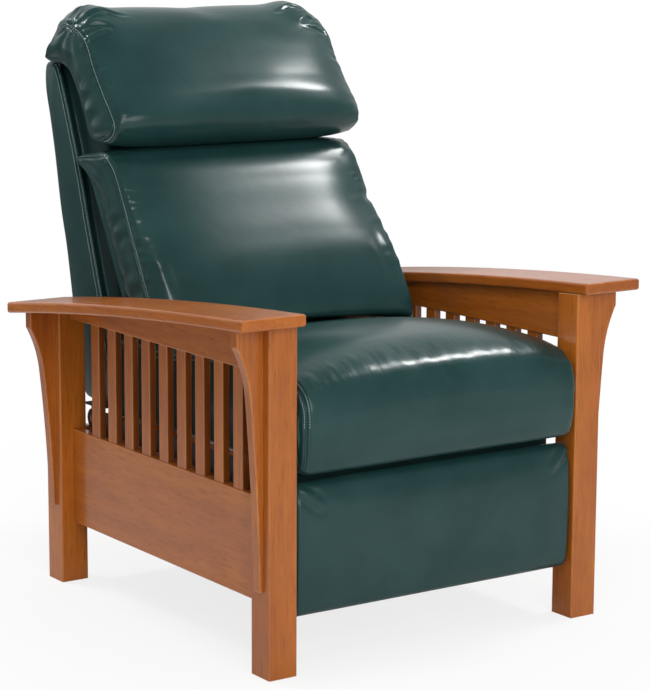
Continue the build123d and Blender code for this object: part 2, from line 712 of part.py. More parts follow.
# Footrest and its linkage
crank = drill(plate(crank_x, [crank_pivot, crank_tip], LINK_HALF_WIDTH),
              [crank_pivot, crank_knee, crank_tip])
idler = drill(plate(crank_x, [idler_pivot, idler_tip], LINK_HALF_WIDTH), [idler_pivot, idler_tip])
lift_pivots = [crank_knee, idler_tip, lift_tip]
lift = drill(plate(lift_x, lift_pivots, LINK_HALF_WIDTH), lift_pivots)
guide = drill(plate(guide_x, [crank_tip, guide_tip], LINK_HALF_WIDTH), [crank_tip, guide_tip])
lift_pins = [pin(crank_knee, lift_x, crank_x), pin(idler_tip, lift_x, crank_x),
             pin(lift_tip, bracket_x, lift_x)]
guide_pins = [pin(crank_tip, guide_x, crank_x), pin(guide_tip, guide_x, bracket_x)]
save("crank_links", *both(crank))
save("idler_links", *both(idler))
save("lift_links", *both(lift))
save("lift_pins", *both(*lift_pins))
save("guide_links", *both(guide))
save("guide_pins", *both(*guide_pins))
save("footrest_brackets", *both(footrest_bracket()))
save("footrest_board", footrest_board())
save("footrest_pad", soft_form(FOOTREST_HALF_WIDTH, footrest_section))
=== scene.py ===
import math

import bmesh
import bpy
import numpy as np
from mathutils import Matrix, Vector


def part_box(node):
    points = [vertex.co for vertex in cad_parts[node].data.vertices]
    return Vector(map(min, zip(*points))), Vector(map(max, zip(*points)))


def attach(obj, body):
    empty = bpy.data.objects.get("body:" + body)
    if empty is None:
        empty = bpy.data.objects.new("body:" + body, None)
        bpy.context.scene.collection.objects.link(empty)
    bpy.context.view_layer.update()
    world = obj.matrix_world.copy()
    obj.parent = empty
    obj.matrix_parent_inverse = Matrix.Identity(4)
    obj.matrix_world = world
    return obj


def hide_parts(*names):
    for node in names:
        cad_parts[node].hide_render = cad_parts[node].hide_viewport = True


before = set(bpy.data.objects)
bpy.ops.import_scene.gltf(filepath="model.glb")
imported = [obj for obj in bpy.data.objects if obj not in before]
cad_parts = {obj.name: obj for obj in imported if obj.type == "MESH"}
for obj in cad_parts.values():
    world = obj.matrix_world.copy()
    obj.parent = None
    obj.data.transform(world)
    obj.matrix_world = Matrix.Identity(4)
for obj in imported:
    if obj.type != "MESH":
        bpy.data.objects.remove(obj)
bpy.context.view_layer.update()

bpy.ops.object.select_all(action="DESELECT")

# Camera. It stands to the sitter's right and in front, a little above the arms, where the chair
# was photographed from, and looks slightly down.
camera_place = Vector((-2.45258, -3.67123, 1.26521))
turn, dip, roll = 0.602, 0.177, 0.004
ahead = Vector((math.sin(turn) * math.cos(dip), math.cos(turn) * math.cos(dip), -math.sin(dip)))
level_right = Vector((math.cos(turn), -math.sin(turn), 0))
level_up = level_right.cross(ahead)
right = math.cos(roll) * level_right + math.sin(roll) * level_up
up = math.cos(roll) * level_up - math.sin(roll) * level_right
bpy.ops.object.camera_add(location=camera_place)
camera = bpy.context.object
camera.matrix_world = Matrix.Translation(camera_place) @ Matrix((right, up, -ahead)).transposed().to_4x4()
camera.data.lens = 122.81
camera.data.sensor_width = 36
bpy.context.scene.camera = camera
bpy.context.scene.view_settings.view_transform = "Standard"


# Floor and studio. A white sweep of floor and a white world, a large soft lamp in front, and three
# small ones high up, which draw the highlights on the cushions.
class Value:
    """A node's output, so that shader maths reads as plain sums."""

    def __init__(self, finish, socket):
        self.finish = finish
        self.socket = socket

    def math(self, operation, other, reflected=False):
        pair = (other, self) if reflected else (self, other)
        return self.finish.node("Math", {"operation": operation}, {0: pair[0], 1: pair[1]})

    def __add__(self, other):
        return self.math("ADD", other)

    def __sub__(self, other):
        return self.math("SUBTRACT", other)

    def __rsub__(self, other):
        return self.math("SUBTRACT", other, True)

    def __mul__(self, other):
        return self.math("MULTIPLY", other)

    __radd__ = __add__
    __rmul__ = __mul__

    def at_most(self, other):
        return self.math("MINIMUM", other)

    def ramp(self, low, high):
        """0 below low, 1 above high and a straight slope between."""
        return self.finish.node("MapRange", {}, {"Value": self, "From Min": low, "From Max": high})


class Finish:
    """The nodes of one material or of the world."""

    def __init__(self, owner):
        self.owner = owner
        owner.use_nodes = True
        self.tree = owner.node_tree

    def node(self, kind, settings, sockets, output=0):
        """A new node with its settings and the values or links of its sockets."""
        made = self.tree.nodes.new("ShaderNode" + kind)
        for name, setting in settings.items():
            setattr(made, name, setting)
        for name, value in sockets.items():
            self.put(made.inputs[name], value)
        return Value(self, made.outputs[output])

    def put(self, socket, value):
        if isinstance(value, Value):
            self.tree.links.new(value.socket, socket)
        elif socket.type == "RGBA" and len(value) == 3:
            socket.default_value = (*value, 1)
        else:
            socket.default_value = value

    def mix(self, factor, first, second):
        """Two colours mixed."""
        return self.node("Mix", {"data_type": "RGBA"}, {0: factor, 6: first, 7: second}, 2)

    def shade(self, **sockets):
        """Sets the shader's own sockets, whose names have spaces where the words have underscores."""
        shader = self.tree.nodes["Principled BSDF"]
        for name, value in sockets.items():
            self.put(shader.inputs[name.replace("_", " ").title().replace("Ior", "IOR")], value)


def new_finish(name):
    return Finish(bpy.data.materials.new(name))


bpy.ops.mesh.primitive_plane_add(size=40)
floor = bpy.context.object
floor.name = "studio_floor"

# Mirrored in the hide, the floor is darker behind the chair, to the sitter's right.
sweep = new_finish("white_sweep")
seen = sweep.node("LightPath", {}, {}, "Is Camera Ray")
mirrored = sweep.node("LightPath", {}, {}, "Is Glossy Ray")
spot = sweep.node("TexCoord", {}, {}, "Object")
behind = sweep.node("VectorMath", {"operation": "DOT_PRODUCT"}, {0: spot, 1: (-0.56, 0.83, 0)}, 1)
sweep.shade(base_color=0.84 - mirrored * behind.ramp(0.8, 3.0) * 0.62, roughness=0.9,
            specular_ior_level=0.1)

# The camera sees it plain white further out, and with the chair's shadow close by.
away = sweep.node("VectorMath", {"operation": "LENGTH"}, {0: spot}, 1)
glow = sweep.node("Emission", {}, {"Color": (1, 1, 1), "Strength": 1.0})
painted = Value(sweep, sweep.tree.nodes["Principled BSDF"].outputs[0])
plain_share = seen * (0.80 + away.ramp(0.5, 1.6) * 0.20)
floor_surface = sweep.node("MixShader", {}, {0: plain_share, 1: painted, 2: glow})
sweep.put(sweep.tree.nodes["Material Output"].inputs["Surface"], floor_surface)
floor.data.materials.append(sweep.owner)

# The world is white to the camera. Mirrored, it is bright behind the chair and low down, dim above.
if bpy.context.scene.world is None:
    bpy.context.scene.world = bpy.data.worlds.new("studio")
studio = Finish(bpy.context.scene.world)
shown = studio.node("LightPath", {}, {}, "Is Camera Ray")
mirrored = studio.node("LightPath", {}, {}, "Is Glossy Ray")
through = studio.node("LightPath", {}, {}, "Is Transmission Ray")
seen_way = studio.node("TexCoord", {}, {}, "Generated")
to_rear = studio.node("VectorMath", {"operation": "DOT_PRODUCT"}, {0: seen_way, 1: (0.6, 0.8, 0)}, 1)
seen_height = studio.node("SeparateXYZ", {}, {0: seen_way}, "Z")
bright = (to_rear.ramp(0.10, 0.75) * 0.65 + (1 - seen_height.ramp(0.0, 0.45)) * 0.30).at_most(0.65)
backdrop = (mirrored + through).at_most(1) * (bright - 0.30)
studio.put(studio.tree.nodes["Background"].inputs["Color"], (1, 1, 1))
studio.put(studio.tree.nodes["Background"].inputs["Strength"], 0.5 + shown * 0.5 + backdrop)


def soft_lamp(name, place, target, width, height, watts):
    bpy.ops.object.light_add(type="AREA", location=place)
    lamp = bpy.context.object
    lamp.name = name
    lamp.rotation_euler = (Vector(target) - Vector(place)).to_track_quat("-Z", "Y").to_euler()
    lamp.data.shape = "RECTANGLE"
    lamp.data.size = width
    lamp.data.size_y = height
    lamp.data.energy = watts


soft_lamp("front_lamp", (-1.2, -4.6, 2.2), (0, 0, 0.5), width=3.2, height=2.4, watts=104)
soft_lamp("key_lamp", (1.71, -0.36, 2.73), (0, 0, 0.8), width=0.5, height=0.42, watts=36)
soft_lamp("fill_lamp", (-1.3, -1.7, 2.45), (-0.2, 0, 0.6), width=0.25, height=0.35, watts=9)
soft_lamp("rim_lamp", (-0.9, 1.5, 2.7), (-0.1, 0.3, 1.0), width=0.55, height=0.4, watts=34)


# Hardwood frame: posts, corbels, arms, aprons, side panels, slats and the rear rail. Stained
# hardwood under a satin lacquer, the edges eased by hand. The edges are lighter, partly from wear of
# the stain and partly as a painted highlight along each arris.
def stained_wood(name, grain, shade_slat_sides=False):
    """Wood with its grain along an axis. On slats, the faces that look front and back, towards the next
    slats, get painted shade.
    """
    wood = new_finish(name)
    place = wood.node("TexCoord", {}, {}, "Object")
    piece = wood.node("ObjectInfo", {}, {}, "Random")
    stretch = [0.07 if axis == grain else 1 for axis in "XYZ"]
    shift = wood.node("VectorMath", {"operation": "MULTIPLY"}, {0: (7.0, 5.0, 9.0), 1: piece})
    board = wood.node("VectorMath", {"operation": "MULTIPLY_ADD"}, {0: place, 1: stretch, 2: shift})
    figure = wood.node("TexNoise", {}, {"Vector": board, "Scale": 26, "Detail": 3, "Distortion": 0.6})
    rings = wood.node("TexNoise", {}, {"Vector": board, "Scale": 150, "Detail": 4, "Roughness": 0.65})
    pores = wood.node("TexNoise", {}, {"Vector": board, "Scale": 400, "Detail": 2, "Roughness": 0.5})
    cloud = wood.node("TexNoise", {}, {"Vector": place, "Scale": 14, "Detail": 2})
    pits = (0.45 - pores).ramp(0.0, 0.12)
    tone = (figure * 0.45 + rings * 0.40 + cloud * 0.15 + (piece - 0.5) * 0.16).ramp(0.27, 0.73)
    stain = wood.mix(tone, (0.255, 0.056, 0.004), (0.470, 0.137, 0.012))
    stain = wood.mix(pits * 0.26, stain, (0.11, 0.022, 0.002))
    rounded = wood.node("Bevel", {"samples": 4}, {"Radius": 0.0035})
    flat = wood.node("NewGeometry", {}, {}, "Normal")
    if shade_slat_sides:
        # Painted shade: faces turned to the front or back, where the next slats shade them, are mixed towards
        # a dark stain.
        front_back_facing = wood.node("SeparateXYZ", {}, {0: flat}, "Y")
        stain = wood.mix((front_back_facing * front_back_facing).ramp(0.3, 0.7) * 0.75, stain, (0.115, 0.022, 0.002))
    facing = wood.node("VectorMath", {"operation": "DOT_PRODUCT"}, {0: rounded, 1: flat}, 1)
    # Lighter edges: partly wear of the stain, partly a painted highlight along each arris.
    wear_and_highlight = (1 - facing).ramp(0.015, 0.16) * (0.35 + rings * 0.9).at_most(1)
    colour = wood.mix(wear_and_highlight * 0.85, stain, (0.82, 0.43, 0.18))
    height = rings * 0.3 - pits * 0.7
    bump = wood.node("Bump", {}, {"Height": height, "Strength": 0.16, "Distance": 0.0006,
                                  "Normal": rounded})
    wood.shade(base_color=colour, roughness=0.38 + figure * 0.10 + pits * 0.1, normal=bump,
               coat_weight=0.6, coat_roughness=0.16, specular_ior_level=0.2)
    return wood.owner


def finish_nodes(names, material):
    for name in names:
        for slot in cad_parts[name].material_slots:
            slot.material = material


sides = ("left", "right")
upright_wood = [f"post_{end}_{side}" for end in ("front", "rear") for side in sides]
upright_wood += [f"corbel_{end}_{side}" for end in ("front", "rear") for side in sides]
slat_wood = [f"slat_{side}_{number}" for side in sides for number in range(1, 10)]
lengthwise_wood = [f"{board}_{side}" for board in ("arm", "apron", "side_panel") for side in sides]
finish_nodes(upright_wood, stained_wood("upright_hardwood", "Z"))
finish_nodes(slat_wood, stained_wood("slat_hardwood", "Z", True))
finish_nodes(lengthwise_wood, stained_wood("lengthwise_hardwood", "Y"))
finish_nodes(["rear_rail"], stained_wood("crosswise_hardwood", "X"))


# Seat rails and footrest board: plain sawn softwood, which nobody sees. The boards are left rough
# from the saw and screwed to the steel.
sawn = new_finish("plain_wood")
place = sawn.node("TexCoord", {}, {}, "Object")
board = sawn.node("VectorMath", {"operation": "MULTIPLY"}, {0: place, 1: (0.05, 1, 1)})
bands = sawn.node("TexNoise", {}, {"Vector": board, "Scale": 110, "Detail": 4, "Distortion": 0.4})
fibres = sawn.node("TexNoise", {}, {"Vector": board, "Scale": 900, "Detail": 2})
colour = sawn.mix(bands.ramp(0.3, 0.7), (0.48, 0.30, 0.15), (0.70, 0.51, 0.31))
fuzz = sawn.node("Bump", {}, {"Height": fibres, "Strength": 0.3, "Distance": 0.0004})
sawn.shade(base_color=colour, roughness=0.6 + fibres * 0.3, normal=fuzz)
finish_nodes(["seat_rail_front", "seat_rail_rear", "footrest_board"], sawn.owner)


# Steel of the mechanism: flat links, plates, rails and tubes, pressed from strip and coated in
# satin black, which is rubbed thin along the edges.
def coated_steel():
    steel = new_finish("black_steel")
    place = steel.node("TexCoord", {}, {}, "Object")
    speckle = steel.node("TexNoise", {}, {"Vector": place, "Scale": 900, "Detail": 2})
    smear = steel.node("TexNoise", {}, {"Vector": place, "Scale": 22, "Detail": 4})
    rounded = steel.node("Bevel", {"samples": 4}, {"Radius": 0.0009})
    flat = steel.node("NewGeometry", {}, {}, "Normal")
    facing = steel.node("VectorMath", {"operation": "DOT_PRODUCT"}, {0: rounded, 1: flat}, 1)
    rubbed = (1 - facing).ramp(0.02, 0.3) * smear.ramp(0.40, 0.65)
    colour = steel.mix(smear, (0.018, 0.018, 0.019), (0.042, 0.041, 0.040))
    colour = steel.mix(rubbed * 0.7, colour, (0.33, 0.32, 0.30))
    bump = steel.node("Bump", {}, {"Height": speckle, "Strength": 0.18, "Distance": 0.0002,
                                   "Normal": rounded})
    steel.shade(base_color=colour, roughness=0.34 + speckle * 0.12 + smear * 0.08, metallic=rubbed,
                normal=bump)
    return steel.owner


finish_nodes(["base_rail_left", "base_rail_right", "base_cross_tubes", "swing_links_front",
              "swing_links_rear", "seat_plate_left", "seat_plate_right", "back_brackets",
              "crank_links", "idler_links", "lift_links", "guide_links", "footrest_brackets"],
             coated_steel())


# Pins and screws: turned steel with a dull zinc plate. The pins join the links, and the screws hold
# the base rails to the side panels.
def plated_steel():
    zinc = new_finish("bright_steel")
    place = zinc.node("TexCoord", {}, {}, "Object")
    turned = zinc.node("VectorMath", {"operation": "MULTIPLY"}, {0: place, 1: (0.1, 1, 1)})
    lines = zinc.node("TexNoise", {}, {"Vector": turned, "Scale": 1600, "Detail": 2})
    bloom = zinc.node("TexNoise", {}, {"Vector": place, "Scale": 160, "Detail": 3})
    colour = zinc.mix(bloom.ramp(0.35, 0.7), (0.62, 0.62, 0.60), (0.46, 0.45, 0.42))
    bump = zinc.node("Bump", {}, {"Height": lines, "Strength": 0.12, "Distance": 0.0002})
    zinc.shade(base_color=colour, metallic=1.0, roughness=0.26 + bloom * 0.2, normal=bump)
    return zinc.owner


finish_nodes(["base_fasteners", "seat_pins", "lift_pins", "guide_pins"], plated_steel())


# Seat webbing: elastic straps of woven black yarn, stapled to the two wooden seat rails. They carry
# the seat cushion.
def woven_straps():
    webbing = new_finish("webbing")
    place = webbing.node("TexCoord", {}, {}, "Object")
    along = webbing.node("TexWave", {"bands_direction": "Y", "wave_profile": "SIN"},
                         {"Vector": place, "Scale": 95})
    across = webbing.node("TexWave", {"bands_direction": "X", "wave_profile": "SIN"},
                          {"Vector": place, "Scale": 130})
    yarn = webbing.node("TexNoise", {}, {"Vector": place, "Scale": 700, "Detail": 2})
    weave = along * 0.5 + across * 0.5
    colour = webbing.mix(weave * 0.8 + yarn * 0.2, (0.020, 0.019, 0.018), (0.11, 0.105, 0.095))
    bump = webbing.node("Bump", {}, {"Height": weave, "Strength": 0.6, "Distance": 0.0006})
    webbing.shade(base_color=colour, roughness=0.8, normal=bump)
    return webbing.owner


finish_nodes(["seat_webbing"], woven_straps())


# Leather of the cushions: dark green hide with a fine pebbled grain and a polished topcoat. Over the
# roll of the seat it is drawn into fine short pulls.
def green_hide():
    hide = new_finish("green_leather")
    place = hide.node("TexCoord", {}, {}, "Object")
    pebble = hide.node("TexVoronoi", {"feature": "SMOOTH_F1"},
                       {"Vector": place, "Scale": 620, "Smoothness": 0.6})
    grain = hide.node("TexNoise", {}, {"Vector": place, "Scale": 900, "Detail": 2})
    crease = hide.node("TexNoise", {}, {"Vector": place, "Scale": 34, "Detail": 5, "Distortion": 0.8})
    cloud = hide.node("TexNoise", {}, {"Vector": place, "Scale": 9, "Detail": 3})
    colour = hide.mix(cloud.ramp(0.3, 0.7), (0.0090, 0.0370, 0.0363), (0.0155, 0.0520, 0.0503))
    height = pebble * 0.5 + grain * 0.2
    forward = 0 - hide.node("SeparateXYZ", {}, {0: place}, "Y")
    above = hide.node("SeparateXYZ", {}, {0: place}, "Z")
    on_seat_roll = forward.ramp(0.385, 0.430) * above.ramp(0.485, 0.510)
    drawn = hide.node("VectorMath", {"operation": "MULTIPLY"}, {0: place, 1: (1, 0.18, 0.35)})
    pulls = hide.node("TexNoise", {}, {"Vector": drawn, "Scale": 62, "Detail": 3})
    bump = hide.node("Bump", {}, {"Height": height, "Strength": 0.22, "Distance": 0.0005})
    bump = hide.node("Bump", {}, {"Height": pulls * on_seat_roll, "Strength": 0.7, "Distance": 0.006,
                                  "Normal": bump})
    bump = hide.node("Bump", {}, {"Height": crease, "Strength": 0.15, "Distance": 0.004, "Normal": bump})
    hide.shade(base_color=colour, roughness=0.34 + cloud * 0.08, normal=bump, specular_ior_level=0.07,
               coat_weight=0.46, coat_roughness=0.21)
    return hide.owner


leather = green_hide()


# Thread of the topstitching: waxed, and lighter than the hide, partly its own colour and partly a painted
# highlight along the stitches. It runs in rows of short stitches beside the seams.
def waxed_thread():
    thread = new_finish("green_thread")
    place = thread.node("TexCoord", {}, {}, "Object")
    twist = thread.node("TexNoise", {}, {"Vector": place, "Scale": 1500, "Detail": 2})
    # Light thread colour: partly its own, partly a painted highlight for the glint along the stitches.
    colour = thread.mix(twist, (0.280, 0.400, 0.390), (0.480, 0.590, 0.580))
    bump = thread.node("Bump", {}, {"Height": twist, "Strength": 0.3, "Distance": 0.0002})
    thread.shade(base_color=colour, roughness=0.3 + twist * 0.2, normal=bump)
    return thread.owner


thread = waxed_thread()


# Seat cushion: foam in a sewn cover, one panel that runs over the front and the top, and a boxing
# at each side, joined by a topstitched seam. It lies on the webbing.
chair_middle = (0, 464, 0)


def smooth_loop(points, counts):
    """A smooth closed line through (y, z) points, with counts[k] places on its kth stretch."""
    total = len(points)
    steps = [np.sqrt(np.hypot(*(points[(k + 1) % total] - points[k]))) for k in range(total)]
    speeds = []
    for k in range(total):
        before, after = steps[k - 1], steps[k]
        back = (points[k] - points[k - 1]) / before
        forth = (points[(k + 1) % total] - points[k]) / after
        speeds.append((back * after + forth * before) / (before + after))
    line = []
    for k, count in enumerate(counts):
        start, end = points[k], points[(k + 1) % total]
        leave, arrive = speeds[k] * steps[k], speeds[(k + 1) % total] * steps[k]
        for s in np.arange(count) / count:
            line.append(start * (1 - 3 * s**2 + 2 * s**3) + end * (3 * s**2 - 2 * s**3)
                        + leave * (s - 2 * s**2 + s**3) + arrive * (s**3 - s**2))
    return np.array(line)


def inset(line, distance):
    """A closed line drawn in by a distance."""
    ahead = np.roll(line, -1, 0) - np.roll(line, 1, 0)
    ahead /= np.linalg.norm(ahead, axis=1)[:, None]
    area = np.sum(line[:, 0] * np.roll(line[:, 1], -1) - np.roll(line[:, 0], -1) * line[:, 1])
    inward = np.stack([-ahead[:, 1], ahead[:, 0]], 1) * np.sign(area)
    return line + inward * distance


def along_curve(places, values, wanted):
    """Values at the wanted places on smooth curves through the values at given places."""
    slopes = np.gradient(values, places, axis=0)
    k = np.clip(np.searchsorted(places, wanted) - 1, 0, len(places) - 2)
    gap = (places[k + 1] - places[k]).reshape(-1, *[1] * (values.ndim - 1))
    s = ((wanted - places[k]) / (places[k + 1] - places[k])).reshape(gap.shape)
    return (values[k] * (1 - 3 * s**2 + 2 * s**3) + values[k + 1] * (3 * s**2 - 2 * s**3)
            + slopes[k] * gap * (s - 2 * s**2 + s**3) + slopes[k + 1] * gap * (s**3 - s**2))


class Cushion:
    """A sewn cushion as a grid of rings across the chair, closed by a boxing at each side.

    Sizes are in millimetres, with y counted from the front faces of the front posts, as it is in
    chair_middle."""

    def __init__(self, name, half_width, edge, section, counts, puff, aside=0):
        self.name, self.half_width, self.edge, self.puff = name, half_width, edge, puff
        self.section, self.counts = section, list(counts) + list(reversed(counts))
        self.reach = half_width - edge + edge * math.pi / 2
        self.seam = half_width - edge + edge * math.pi / 4
        ring_gap = 7.0
        inner = np.arange(0, self.seam - 5, ring_gap)
        half = np.concatenate([inner, [self.seam, self.seam + 6.0, self.reach]])
        self.across = np.concatenate([-half[:0:-1], half])
        self.rings = np.array([self.ring(place) for place in self.across]) + (aside, 0, 0)
        self.sides = self.boxing()

    def ring(self, place):
        turned = max(0.0, abs(place) - (self.half_width - self.edge)) / self.edge
        x = abs(place) if turned == 0 else self.half_width - self.edge + self.edge * math.sin(turned)
        x = math.copysign(x, place)
        drawn = self.edge * (1 - math.cos(turned))
        line = inset(smooth_loop(self.section(x / self.half_width), self.counts), drawn)
        return np.column_stack([np.full(len(line), x), line])

    def boxing(self):
        """The inner places of the two boxings, as (ends, rows, columns, 3)."""
        half = self.rings.shape[1] // 2
        gaps, fading_rows = 14, 8
        shares = np.arange(1, gaps)[:, None] / gaps
        bulge = (4 * shares * (1 - shares))[:, 0]
        rows_in = np.minimum(np.arange(1, half), half - np.arange(1, half))[:, None]
        near = np.clip(rows_in / fading_rows, 0, 1)
        ends = []
        for ring, side in ((self.rings[0], -1), (self.rings[-1], 1)):
            front, rear = ring[1:half], ring[:half:-1]
            rows = front[:, None] * (1 - shares) + rear[:, None] * shares
            rows[..., 0] += side * self.puff * near * bulge
            ends.append(rows)
        return np.array(ends)

    def faces(self, across, around, boxing):
        """The faces between the rings, and those of the two boxings."""
        grid = np.arange(across * around).reshape(across, around)
        turned = np.roll(grid, -1, 1)
        faces = [list(face) for face in zip(grid[:-1].ravel(), turned[:-1].ravel(),
                                            turned[1:].ravel(), grid[1:].ravel())]
        half = around // 2
        start = across * around
        for end, ring in enumerate((grid[0], grid[-1])):
            count = boxing.shape[1] * boxing.shape[2]
            inner = start + end * count + np.arange(count).reshape(boxing.shape[1:3])
            rows = np.column_stack([ring[1:half], inner, ring[:half:-1]])
            for a, b in zip(rows[:-1], rows[1:]):
                faces += [list(face) for face in zip(a[:-1], a[1:], b[1:], b[:-1])]
            faces += [[ring[0], a, b] for a, b in zip(rows[0][:-1], rows[0][1:])]
            faces += [[ring[half], a, b] for a, b in zip(rows[-1][:-1], rows[-1][1:])]
        return faces

    def make(self, rings, boxing, name):
        places = np.concatenate([rings.reshape(-1, 3), boxing.reshape(-1, 3)])
        places = (places - chair_middle) / 1000
        mesh = bpy.data.meshes.new(name)
        mesh.from_pydata(places.tolist(), [], self.faces(*rings.shape[:2], boxing))
        shape = bmesh.new()
        shape.from_mesh(mesh)
        bmesh.ops.recalc_face_normals(shape, faces=shape.faces)
        shape.to_mesh(mesh)
        shape.free()
        mesh.shade_smooth()
        piece = bpy.data.objects.new(name, mesh)
        bpy.context.collection.objects.link(piece)
        return piece

    def swell(self, held, most, pressure, spare):
        """Fills the cover like foam does: cloth under pressure, held at its seams and where held(place)
        says. The cloth is larger than the form by the share spare, and no place moves further than most."""
        last_frame, smoothing_rounds = 20, 14
        piece = self.make(self.rings, self.sides, self.name + "_filling")
        pins = piece.vertex_groups.new(name="held")
        count = self.rings.shape[1]
        for column, place in enumerate(self.across):
            at_seam = abs(abs(place) - self.seam) < 0.5
            for row in range(count):
                grip = 1.0 if at_seam else held(self.rings[column, row])
                if grip > 0:
                    pins.add([column * count + row], grip, "REPLACE")
        bpy.context.view_layer.objects.active = piece
        cloth = piece.modifiers.new("cover", "CLOTH")
        settings = cloth.settings
        settings.quality = 6
        settings.mass = 0.25
        settings.tension_stiffness = settings.compression_stiffness = 20
        settings.shear_stiffness = 8
        settings.bending_stiffness = 4
        settings.use_pressure = True
        settings.uniform_pressure_force = pressure
        settings.shrink_min = -spare
        settings.vertex_group_mass = "held"
        settings.effector_weights.gravity = 0
        cloth.point_cache.frame_end = last_frame
        for frame_number in range(1, last_frame + 1):
            bpy.context.scene.frame_set(frame_number)
        filled = piece.evaluated_get(bpy.context.evaluated_depsgraph_get()).to_mesh()
        places = np.zeros(len(filled.vertices) * 3)
        filled.vertices.foreach_get("co", places)
        places = places.reshape(-1, 3) * 1000 + chair_middle
        start = np.concatenate([self.rings.reshape(-1, 3), self.sides.reshape(-1, 3)])
        moved = places - start
        length = np.linalg.norm(moved, axis=1)[:, None]
        places = start + moved * np.minimum(1, most / np.maximum(length, 1e-9))
        size = self.rings.size // 3
        moved = (places - start)[:size].reshape(self.rings.shape)
        for _ in range(smoothing_rounds):
            moved[1:-1] = (moved[:-2] + 2 * moved[1:-1] + moved[2:]) / 4
            moved = (np.roll(moved, 1, 1) + 2 * moved + np.roll(moved, -1, 1)) / 4
        self.rings = self.rings + moved
        self.sides = places[size:].reshape(self.sides.shape)
        bpy.context.scene.frame_set(1)
        bpy.data.objects.remove(piece)

    def double(self):
        """Puts another place between each two around the rings, for the fine folds."""
        half = self.rings.shape[1] // 2
        ends = []
        for rows, ring in zip(self.sides, (self.rings[0], self.rings[-1])):
            closed = np.concatenate([np.tile(ring[0], (1, rows.shape[1], 1)), rows,
                                     np.tile(ring[half], (1, rows.shape[1], 1))])
            mixed = np.empty((2 * len(rows) + 1, *rows.shape[1:]))
            mixed[0::2] = (closed[1:] + closed[:-1]) / 2
            mixed[1::2] = rows
            ends.append(mixed)
        between = (9 * (self.rings + np.roll(self.rings, -1, 1))
                   - np.roll(self.rings, 1, 1) - np.roll(self.rings, -2, 1)) / 16
        self.rings = np.stack([self.rings, between], 2).reshape(len(self.rings), -1, 3)
        self.sides = np.array(ends)

    def sew(self, relief, cheek=None):
        """The finished cover: finer rings at the seams, shaped by relief(across, around, places), and
        boxings shaped by cheek(places), all in millimetres outwards."""
        off_seam = np.array([0.8, 1.6, 2.6, 3.6, 4.5, 5.4, 6.6, 8.5, 11.5])
        beyond = off_seam[off_seam < self.reach - self.seam - 2]
        seam = np.sort(np.concatenate([self.seam - off_seam, [self.seam], self.seam + beyond]))
        near = self.seam - 15
        far = near - 72
        half = np.concatenate([np.linspace(0, far, 22)[:-1], np.linspace(far, near, 19), seam, [self.reach]])
        wanted = np.concatenate([-half[:0:-1], half])
        rings = along_curve(self.across, self.rings, wanted)
        around = np.roll(rings, -1, 1) - np.roll(rings, 1, 1)
        over = np.gradient(rings, wanted, axis=0)
        normal = np.cross(over, around)
        normal /= np.maximum(np.linalg.norm(normal, axis=2)[..., None], 1e-9)
        middle = len(wanted) // 2
        out = rings[middle] - rings[middle].mean(0)
        if np.sum(normal[middle] * out) < 0:
            normal = -normal
        travel = np.concatenate([[0], np.cumsum(np.linalg.norm(np.diff(rings[middle], axis=0), axis=1))])
        rings = rings + normal * relief(wanted[:, None], travel[None, :], rings)[..., None]
        sides = self.sides.copy()
        if cheek:
            fading_rows, at_edges = 6, 0.4
            rows = np.arange(sides.shape[1])
            rows_in = np.minimum(rows, rows[::-1])[:, None]
            fade = np.clip(rows_in / fading_rows, 0, 1) * np.ones(sides.shape[2])
            fade[:, [0, -1]] *= at_edges
            for end, side in ((0, -1), (1, 1)):
                sides[end, ..., 0] += side * cheek(sides[end]) * fade
        piece = self.make(rings, sides, self.name)
        piece.data.materials.append(leather)
        bpy.ops.object.select_all(action="DESELECT")
        piece.select_set(True)
        bpy.context.view_layer.objects.active = piece
        bpy.ops.object.modifier_add(type="SUBSURF")
        piece.modifiers[-1].levels = piece.modifiers[-1].render_levels = 1
        bpy.ops.object.modifier_apply(modifier=piece.modifiers[-1].name)
        self.wanted, self.sewn, self.normal = wanted, rings, normal
        return piece

    def seam_rows(self, places, first, last):
        """Lines round the cushion at places across it, between two shares of the ring, each with its
        outward ways."""
        rows = []
        for place in places:
            line = along_curve(self.wanted, self.sewn, np.array([place]))[0]
            out = along_curve(self.wanted, self.normal, np.array([place]))[0]
            begin, end = int(first * len(line)), int(last * len(line))
            rows.append((line[begin:end], out[begin:end]))
        return rows


